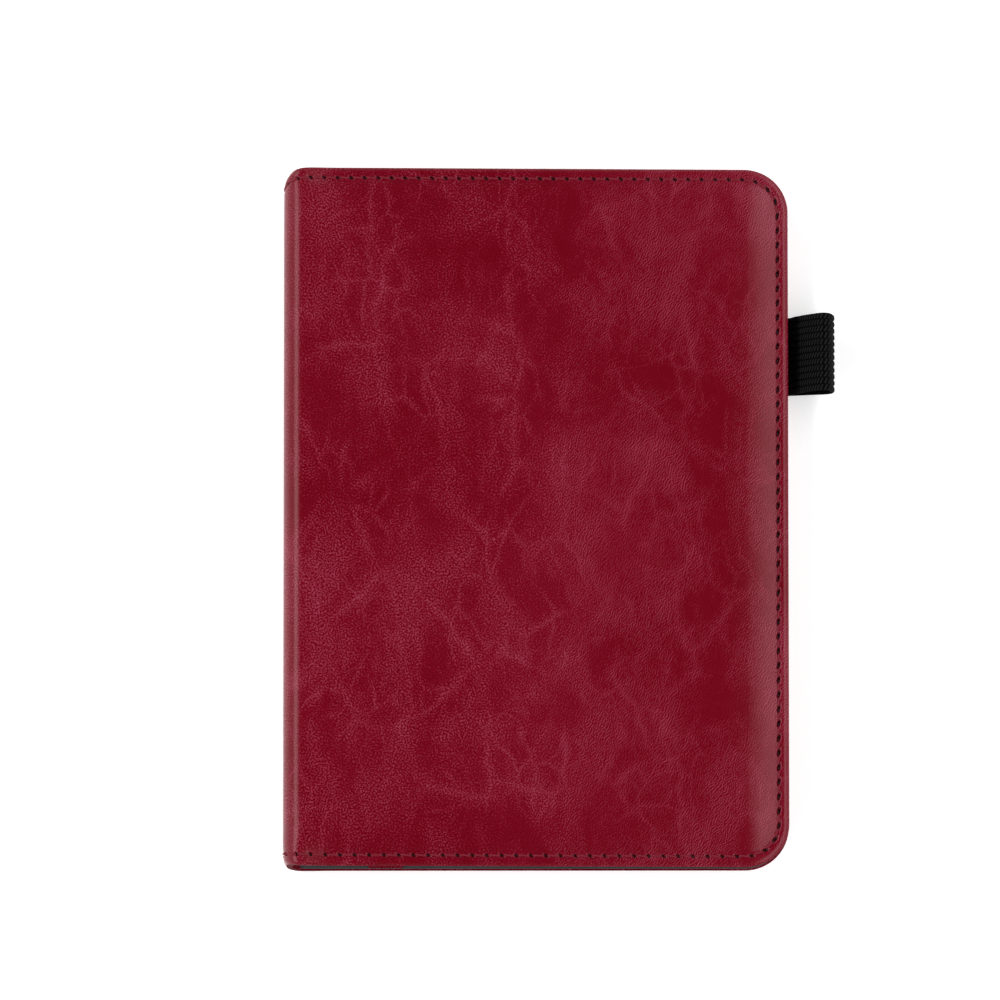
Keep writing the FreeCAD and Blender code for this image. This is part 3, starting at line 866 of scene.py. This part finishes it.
def black_elastic(name, shade, lit):
    """Knitted polyester over rubber: near black and dull, flecked between a darker and a lighter tone. The ribs get
    a lighter pair than the ground between them, as painted light on the rib crowns and painted shade in the gaps.
    """
    material, add = new_material(name)
    place = place_in_mm(add, "strand")
    fuzz = add("ShaderNodeTexNoise",
               {"Vector": place, "Scale": 5.0, "Detail": 3.0, "Roughness": 0.6}).outputs["Fac"]
    colour = add("ShaderNodeValToRGB", [fuzz], [(0.3, shade), (0.75, lit)])
    bump = add("ShaderNodeBump", {"Height": fuzz, "Strength": 0.5, "Distance": 0.05 * MM})
    return finished(material, {
        "Base Color": colour, "Roughness": 0.85, "IOR": 1.5, "Specular IOR Level": 0.06, "Normal": bump,
    })


# The ground weave is near black, painted shade in the gaps between the ribs.
band.data.materials.append(black_elastic("elastic_ground_weave", "#010101", "#040404"))
stations = np.arange(KNIT_START, gone[-1] - KNIT_START, KNIT_PITCH)
rib_y = LOOP_MID_Y + (np.arange(RIBS) + 0.5 - RIBS / 2) * 2 * LOOP_HALF_W / RIBS
knit_place = np.stack([np.interp(stations, gone, line[:, k]) for k in (0, 1)], axis=1)
knit_out = unit(np.stack([np.interp(stations, gone, outside[:, k]) for k in (0, 1)], axis=1))
knit_way = np.stack([-knit_out[:, 1], knit_out[:, 0]], axis=1)
top = np.interp(stations, gone, half_t)
centres = knit_place + knit_out * (top - 0.06 * MM)[:, None]
flat = [np.repeat(v, RIBS, axis=0) for v in (centres, knit_way, knit_out)]
centres, ways, outs = [np.stack([v[:, 0], np.zeros(len(v)), v[:, 1]], axis=1) for v in flat]
centres[:, 1] = np.tile(rib_y, len(stations))
# The knitted ribs take a lighter copy of the elastic, painted light on their crowns.
knit = laid_on("pen_loop_knit", centres, ways, outs, np.full(len(centres), KNIT_L), {
    "Thickness": 0.38 * MM, "Length": KNIT_L, "Dip": 0.2 * MM, "Arch": 0.12 * MM,
    "Lean": math.radians(66), "Stray": math.radians(6), "Sides": 6,
    "Finish": black_elastic("elastic_knitted_ribs", "#0f0e0f", "#312f30"),
})
for piece in (band, knit):
    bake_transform(piece)
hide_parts("pen_loop", "pen_loop_tail")


# ---- Refill pages ----
# Four signatures of four folded sheets each, sewn through the fold. The sheets nest, each fold a little inside
# the one round it, and their fore edges end a little unevenly.
SHEETS = 4
LEAF_PITCH = 0.1075 * MM
PAPER_T = 0.094 * MM
FOLD_STEP = 0.11 * MM    # each fold nests this far inside the one round it
RUN_POINTS = 9           # points along each half of a leaf, and round its fold
rng = np.random.default_rng(7)


def nested_sheets(number):
    """Points and faces of one signature's folded sheets."""
    low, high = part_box(f"signature_{number}")
    mid_z = (low.z + high.z) / 2
    points, faces = [], []
    for sheet in range(SHEETS):
        r = (SHEETS - 0.5 - sheet) * LEAF_PITCH
        fold_x = low.x + PAPER_T / 2 + sheet * FOLD_STEP
        ends = high.x - 0.02 * MM - np.abs(rng.normal(0, 0.06 * MM, 2))
        turn = np.linspace(-math.pi / 2, math.pi / 2, RUN_POINTS)
        bend = np.stack([fold_x + r - r * np.cos(turn), mid_z + r * np.sin(turn)], axis=1)
        run = np.linspace(ends[0], fold_x + r, RUN_POINTS)[:-1]
        lower = np.stack([run, np.full(len(run), mid_z - r)], axis=1)
        run = np.linspace(fold_x + r, ends[1], RUN_POINTS)[1:]
        upper = np.stack([run, np.full(len(run), mid_z + r)], axis=1)
        path = np.concatenate([lower, bend, upper])
        facing = unit(np.gradient(path, axis=0))
        side_way = np.stack([facing[:, 1], -facing[:, 0]], axis=1) * PAPER_T / 2
        corners = [path + side_way, path - side_way]
        start = len(points)
        for p, q in zip(*corners):
            points += [(p[0], low.y, p[1]), (q[0], low.y, q[1]), (q[0], high.y, q[1]), (p[0], high.y, p[1])]
        count = len(path)
        for i in range(count - 1):
            a, b = start + 4 * i, start + 4 * i + 4
            faces += [(b + k, b + (k + 1) % 4, a + (k + 1) % 4, a + k) for k in range(4)]
        last = start + 4 * count - 4
        faces += [tuple(range(start, start + 4)), tuple(range(last + 3, last - 1, -1))]
    return np.array(points), faces


def ruled_paper():
    """Uncoated writing paper: warm white and matt, with a printed pale rule every 6 mm."""
    material, add = new_material("ruled_writing_paper")
    place = place_in_mm(add)
    facing = add("ShaderNodeTexCoord").outputs["Normal"]
    fibre = add("ShaderNodeTexNoise",
                {"Vector": place, "Scale": 1.6, "Detail": 4.0, "Roughness": 0.6}).outputs["Fac"]
    sheet = add("ShaderNodeValToRGB", [fibre], [(0.3, "#ece6d6"), (0.7, "#f4efe2")])
    up = add("ShaderNodeSeparateXYZ", [place]).outputs["Y"]
    step = add("ShaderNodeMath", [up, 6.0], operation="PINGPONG")
    inked = add("ShaderNodeMath", [step, 0.12], operation="LESS_THAN")
    level = add("ShaderNodeSeparateXYZ", [facing]).outputs["Z"]
    level = add("ShaderNodeMath", [level], operation="ABSOLUTE")
    level = add("ShaderNodeMath", [level, 0.7], operation="GREATER_THAN")
    below_head = add("ShaderNodeMath", [up, 62.0], operation="LESS_THAN")
    for share in (level, below_head, 0.6):
        inked = add("ShaderNodeMath", [inked, share], operation="MULTIPLY")
    colour = add("ShaderNodeMix", {"Factor": inked, "A": sheet, "B": linear("#9aa6b4")},
                 data_type="RGBA").outputs["Result"]
    return finished(material, {"Base Color": colour, "Roughness": 0.88, "IOR": 1.5})


paper = ruled_paper()
waxed_linen = fibrous("waxed_linen_thread", "#d8d2c2", "#efe9da", 0.3, 0.6)
for number, body in ((1, "back_cover"), (2, "back_cover"), (3, "signature_3_body"), (4, "signature_4_body")):
    pages = smooth_mesh_object(f"signature_{number}_sheets", *nested_sheets(number), 40)
    pages.data.materials.append(paper)
    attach(pages, body)
    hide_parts(f"signature_{number}")
    cover_cad_piece(f"signature_{number}_thread", waxed_linen)


# ---- Refill card ----
# Thin brown kraft card, folded round the pages and glued to their backs. Its spine is divided finely where it
# would bend when the front half is turned over.
kraft = fibrous("kraft_card", "#8f6a42", "#b28c60", 0.9, 0.85)
for node in ("refill_back_card", "refill_front_card"):
    cover_cad_piece(node, kraft)
low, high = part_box("refill_card_spine")
turn_z = [joint["pos_m"][2] for joint in frame["joints"] if joint["name"] == "refill_cover_turn"][0]
CARD_BEND = 0.25         # mm: half the height of the finely divided band where the card would bend
CARD_CORNER_R = 0.25 * MM
levels = np.concatenate([
    np.linspace(low.z, turn_z - 0.3 * MM, 10), turn_z + np.linspace(-CARD_BEND, CARD_BEND, 7) * MM,
    np.linspace(turn_z + 0.3 * MM, high.z, 8),
])
near_fold = (levels - low.z < CARD_CORNER_R) | (high.z - levels < CARD_CORNER_R)
outer_x = np.where(near_fold, low.x + 0.06 * MM, low.x)
ring_points = []
for z, x in zip(levels, outer_x):
    ring_points += [(x, low.y, z), (high.x, low.y, z), (high.x, high.y, z), (x, high.y, z)]
top_ring = 4 * (len(levels) - 1)
faces = [(a + k, a + (k + 1) % 4, a + 4 + (k + 1) % 4, a + 4 + k) for a in range(0, top_ring, 4) for k in range(4)]
faces += [(3, 2, 1, 0), tuple(range(top_ring, top_ring + 4))]
card_spine = smooth_mesh_object("refill_card_back", np.array(ring_points), faces, 40)
store(card_spine.data, "laid", "FLOAT_VECTOR", ring_points)
card_spine.data.materials.append(kraft)
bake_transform(card_spine)
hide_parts("refill_card_spine")


# ---- Floor, light and camera ----
# A plain white table, two long softboxes, one each side, and a pale glow low in the room. Nothing bright hangs
# overhead, so the flat leather keeps its own colour and only its turned edges and slopes catch the light.
TABLE_HALF = 6.0
TABLE_BELOW = 0.02 * MM
LAMP_AWAY = 1.25


def white_table():
    """Matt white laminate: even and almost without gloss."""
    material, add = new_material("matt_white_laminate")
    coords = add("ShaderNodeTexCoord").outputs["Object"]
    haze = add("ShaderNodeTexNoise", {"Vector": coords, "Scale": 3.0, "Detail": 1.0}).outputs["Fac"]
    colour = add("ShaderNodeValToRGB", [haze], [(0.3, "#fbfbfb"), (0.7, "#fcfcfc")])
    return finished(material, {
        "Base Color": colour, "Roughness": 0.95, "Specular IOR Level": 0.0,
        "Emission Color": linear("#ffffff"), "Emission Strength": 0.45,
    })


floor_mesh = bpy.data.meshes.new("table_top")
table_corners = [(x * TABLE_HALF, y * TABLE_HALF, -TABLE_BELOW) for x, y in ((-1, -1), (1, -1), (1, 1), (-1, 1))]
floor_mesh.from_pydata(table_corners, [], [(0, 1, 2, 3)])
floor_mesh.materials.append(white_table())
new_object("table_top", floor_mesh)

for name, bearing, tilt, wide, long, watts in (
    ("softbox_left", 180, 43, 0.48, 3.0, 17.0),
    ("softbox_right", 0, 42, 0.76, 3.0, 16.0),
):
    lamp = bpy.data.lights.new(name, "AREA")
    lamp.shape = "RECTANGLE"
    lamp.size = long
    lamp.size_y = wide
    lamp.energy = watts
    holder = new_object(name, lamp)
    tilt, bearing = math.radians(tilt), math.radians(bearing)
    outward = Vector((math.sin(tilt) * math.cos(bearing), 0, math.cos(tilt)))
    holder.location = outward * LAMP_AWAY
    holder.rotation_mode = "QUATERNION"
    long_way = Vector((0, 1, 0))
    holder.rotation_quaternion = Matrix((long_way, outward.cross(long_way), outward)).transposed().to_quaternion()

world = bpy.data.worlds.new("studio_air")
world.use_nodes = True
world.node_tree.nodes.clear()
add = partial(add_node, world.node_tree)
way = add("ShaderNodeTexCoord").outputs["Generated"]
parts = add("ShaderNodeSeparateXYZ", [way]).outputs
glow = add("ShaderNodeMapRange", {
    "Value": parts["Z"], "From Min": 0.35, "From Max": 0.62, "To Min": 1.0, "To Max": 0.03,
}, interpolation_type="SMOOTHSTEP")
sideways = add("ShaderNodeMath", [parts["X"], 2.0], operation="POWER")
sideways = add("ShaderNodeMapRange", {"Value": sideways, "To Min": 0.3})
glow = add("ShaderNodeMath", [glow, sideways], operation="MULTIPLY")
air = add("ShaderNodeBackground", {"Color": linear("#ffffff"), "Strength": glow})
add("ShaderNodeOutputWorld", {"Surface": air})
bpy.context.scene.world = world
bpy.context.scene.view_settings.view_transform = "Standard"

ELEVATION = math.radians(81.8)
ROLL = math.radians(0.03)
DISTANCE = 3.5
FIELD = 0.2279           # width of the view at the object
SENSOR = 36
aim = Vector((0, 0, MID_Z))
back = Vector((0, -math.cos(ELEVATION), math.sin(ELEVATION)))
camera = bpy.data.cameras.new("camera")
camera.sensor_width = SENSOR
camera.lens = SENSOR * DISTANCE / FIELD
camera.shift_x = -0.036
camera.shift_y = 0.0184
camera.clip_start = 0.05
camera.clip_end = 50
viewer = new_object("camera", camera)
viewer.location = aim + back * DISTANCE
viewer.rotation_mode = "QUATERNION"
viewer.rotation_quaternion = Quaternion(back, -ROLL) @ (-back).to_track_quat("-Z", "Y")
bpy.context.scene.camera = viewer
